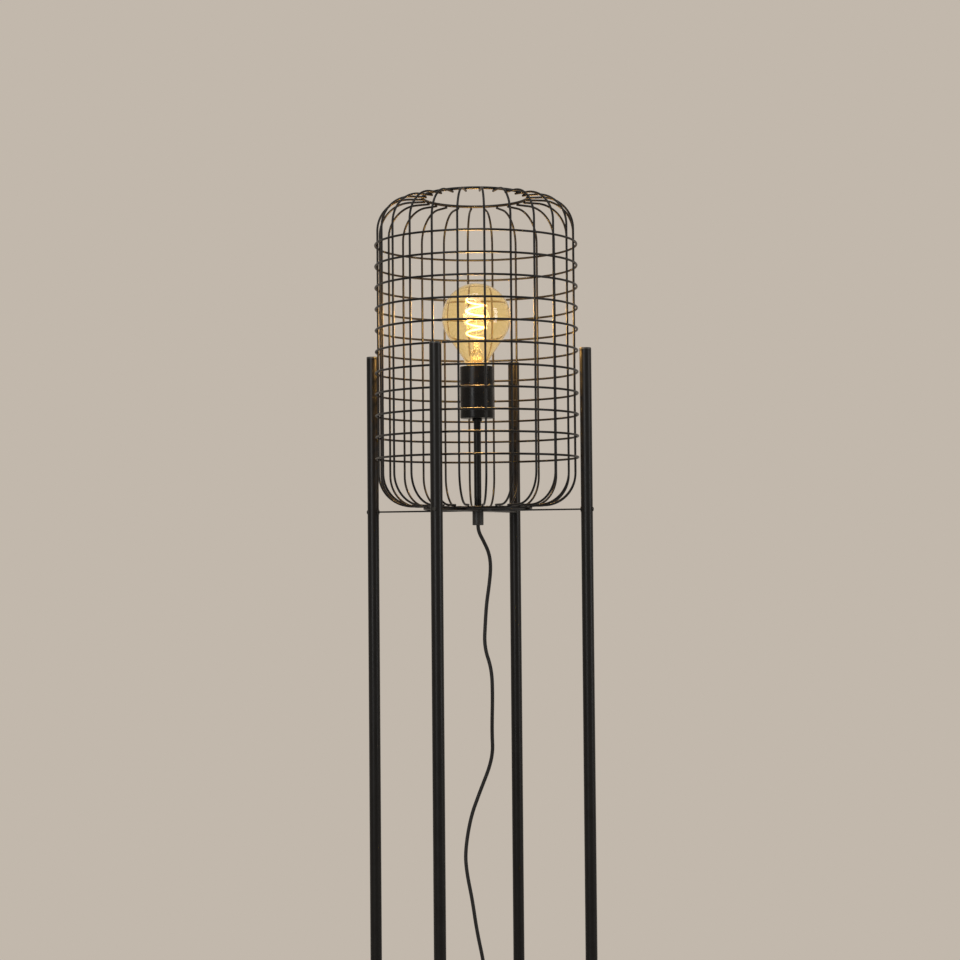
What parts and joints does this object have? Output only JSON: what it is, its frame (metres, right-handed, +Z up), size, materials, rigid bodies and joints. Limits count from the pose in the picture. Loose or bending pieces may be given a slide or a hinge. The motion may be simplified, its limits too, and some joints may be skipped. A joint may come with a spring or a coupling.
{
  "type": "wire cage floor lamp",
  "caption": "Floor lamp: a round-shouldered welded wire cage on a flat cross between tall tubular legs, with a screw-in globe bulb, hanging flex, foot switch and plug.",
  "frame": {"origin": "on the floor, under the middle of the lamp", "axes": "+Z up along the pipe and the legs; the four legs stand on the corners of a square along X and Y"},
  "size_m": [0.2804, 0.2804, 1.5017],
  "materials": {
    "black_wire_paint": "satin black powder coat",
    "black_leg_paint": "satin black powder coat",
    "black_holder_paint": "semi-gloss black paint",
    "black_plastic": "fine matt moulding",
    "black_gloss_plastic": "smooth moulding",
    "black_rubber": "matt",
    "cord_jacket": "soft PVC jacket, low sheen",
    "core_insulation": "PVC insulation",
    "zinc_steel": "zinc plated",
    "black_screw": "black zinc",
    "spring_steel": "drawn wire",
    "brass": "bright stamped",
    "nickel_shell": "nickel plated, rolled",
    "porcelain": "glazed ceramic",
    "bulb_cap_metal": "rolled sheet",
    "solder": "solder",
    "insulator_glass": "black vitrite",
    "amber_glass": "clear, amber tinted, lit",
    "clear_glass": "clear pressed glass",
    "lit_filament": "glowing phosphor",
    "nickel_wire": "drawn wire"
  },
  "bodies": {
    "stand": {"upright_wires_1": "black_wire_paint", "upright_wires_2": "black_wire_paint", "upright_wires_3": "black_wire_paint", "upright_wires_4": "black_wire_paint", "upright_wires_5": "black_wire_paint", "upright_wires_6": "black_wire_paint", "hoop_01": "black_wire_paint", "hoop_02": "black_wire_paint", "hoop_03": "black_wire_paint", "hoop_04": "black_wire_paint", "hoop_05": "black_wire_paint", "hoop_06": "black_wire_paint", "hoop_07": "black_wire_paint", "hoop_08": "black_wire_paint", "hoop_09": "black_wire_paint", "hoop_10": "black_wire_paint", "hoop_11": "black_wire_paint", "top_ring": "black_wire_paint", "bottom_ring": "black_wire_paint", "cross_plate": "black_wire_paint", "arm_sleeves": "black_wire_paint", "leg_back_right": "black_leg_paint", "leg_back_left": "black_leg_paint", "leg_front_left": "black_leg_paint", "leg_front_right": "black_leg_paint", "leg_caps": "black_plastic", "leg_feet": "black_rubber", "leg_screws": "black_screw", "stem_pipe": "black_wire_paint", "stem_nuts": "black_wire_paint", "cord_grip": "black_gloss_plastic", "grip_screw": "zinc_steel", "holder_cup": "black_holder_paint", "holder_base": "black_plastic", "holder_skirt": "black_plastic", "contact_carrier": "porcelain", "screw_shell": "nickel_shell", "centre_contact": "brass", "terminal_blocks": "brass", "stem_lead": "cord_jacket", "core_wires": "core_insulation", "cord_to_switch": "cord_jacket", "cord_to_coil": "cord_jacket", "cord_coil": "cord_jacket", "cord_to_plug": "cord_jacket", "coil_tie": "black_plastic", "switch_base": "black_plastic", "switch_cover": "black_gloss_plastic", "button_spring": "spring_steel", "switch_reliefs": "black_rubber", "plug_body": "black_gloss_plastic", "plug_pins": "nickel_shell"},
    "bulb_seat": {"bulb_contact": "solder"},
    "bulb": {"bulb_insulator": "insulator_glass", "bulb_cap": "bulb_cap_metal", "bulb_glass": "amber_glass", "bulb_mount": "clear_glass", "filament": "lit_filament", "filament_wires": "nickel_wire"},
    "foot_button": {"switch_button": "black_gloss_plastic"}
  },
  "joints": [
    {"name": "bulb_lift", "type": "slide", "parent": "stand", "child": "bulb_seat", "axis": [0, 0, 1], "range_m": [0, 0.0218]},
    {"name": "bulb_turn", "type": "hinge", "parent": "bulb_seat", "child": "bulb", "pos_m": [0, 0, 1.25], "axis": [0, 0, 1], "range_deg": [0, 2160]},
    {"name": "button_press", "type": "slide", "parent": "stand", "child": "foot_button", "axis": [0, 0, -1], "range_m": [0, 0.0025], "stiffness_N_per_m": 800, "springref_m": -0.0015, "deforming": ["button_spring"]}
  ],
  "couplings": [
    {"joint": "bulb_lift", "follows": "bulb_turn", "m_per_rad": 0.00057614}
  ]
}
